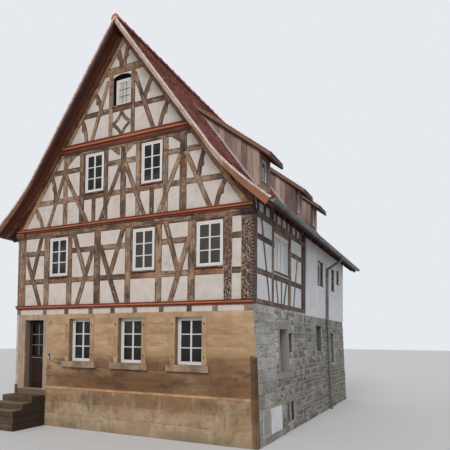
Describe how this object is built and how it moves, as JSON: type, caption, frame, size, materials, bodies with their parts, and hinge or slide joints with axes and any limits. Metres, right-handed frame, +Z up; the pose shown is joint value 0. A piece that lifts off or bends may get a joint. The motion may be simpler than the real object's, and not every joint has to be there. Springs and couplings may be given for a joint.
{
  "type": "half timbered house",
  "caption": "Half timbered house with sandstone ground floor, carved corner posts, steep flared tile roof, shed dormers, stone steps and a hinged front door.",
  "frame": {"origin": "middle of the whole house's box, on the lowest ground that its walls meet", "axes": "+Z up, -Y out of the front gable with the door, +X to the right seen from the front"},
  "size_m": [9.501, 12.76, 11.7046],
  "materials": {
    "sandstone": "hewn sandstone blocks",
    "dressed_stone": "dressed sandstone",
    "rubble": "rubble limestone with lime mortar",
    "step_stone": "worn sandstone",
    "floorboards": "plain floorboards",
    "floor_stone": "stone flags",
    "oak": "weathered oak",
    "painted_beam": "iron red painted oak",
    "verge_wood": "stained boards",
    "plaster": "smooth lime plaster",
    "clay_tiles": "plain clay tiles",
    "ridge_clay": "clay ridge tiles",
    "zinc": "weathered zinc sheet",
    "weathered_boards": "sawn weathered boards",
    "white_wood": "white painted window frames",
    "window_glass": "clear window glass before dark rooms",
    "door_wood": "dark stained oak",
    "handle_steel": "brushed steel",
    "hinge_iron": "black iron"
  },
  "bodies": {
    "house": {"front_plinth": "sandstone", "front_wall": "sandstone", "front_wall_over_door": "sandstone", "door_surround": "dressed_stone", "right_wall": "rubble", "left_wall": "rubble", "rear_wall": "rubble", "steps": "step_stone", "window_surrounds": "dressed_stone", "window_sills": "dressed_stone", "ground_floor": "floor_stone", "upper_floor": "floorboards", "attic_floor": "floorboards", "collar_floor": "floorboards", "joist_ends": "oak", "joist_panels": "plaster", "lower_moulding": "painted_beam", "upper_moulding": "painted_beam", "gable_moulding": "painted_beam", "corner_posts": "oak", "front_frame": "oak", "front_panels": "plaster", "gable_frame": "oak", "gable_panels": "plaster", "rear_frame": "oak", "rear_panels": "plaster", "gable_linings": "plaster", "side_frames": "oak", "side_panels": "plaster", "plaster_walls": "plaster", "side_linings": "plaster", "roof_right": "clay_tiles", "roof_left": "clay_tiles", "ridge_tiles": "ridge_clay", "verge_boards": "verge_wood", "rafter_feet": "oak", "gutters": "zinc", "downpipes": "zinc", "dormer_walls": "weathered_boards", "dormer_roofs": "clay_tiles", "dormer_windows": "white_wood", "ground_windows": "white_wood", "ground_glass": "window_glass", "upper_windows": "white_wood", "upper_glass": "window_glass", "attic_windows": "white_wood", "attic_glass": "window_glass", "door_hinges": "hinge_iron"},
    "front_door": {"front_door": "door_wood", "door_glass": "window_glass", "door_fittings": "handle_steel"}
  },
  "joints": [
    {"name": "front_door_hinge", "type": "hinge", "parent": "house", "child": "front_door", "pos_m": [-3.657, -4.931, 2.13], "axis": [0, 0, 1], "range_deg": [0, 85]}
  ]
}
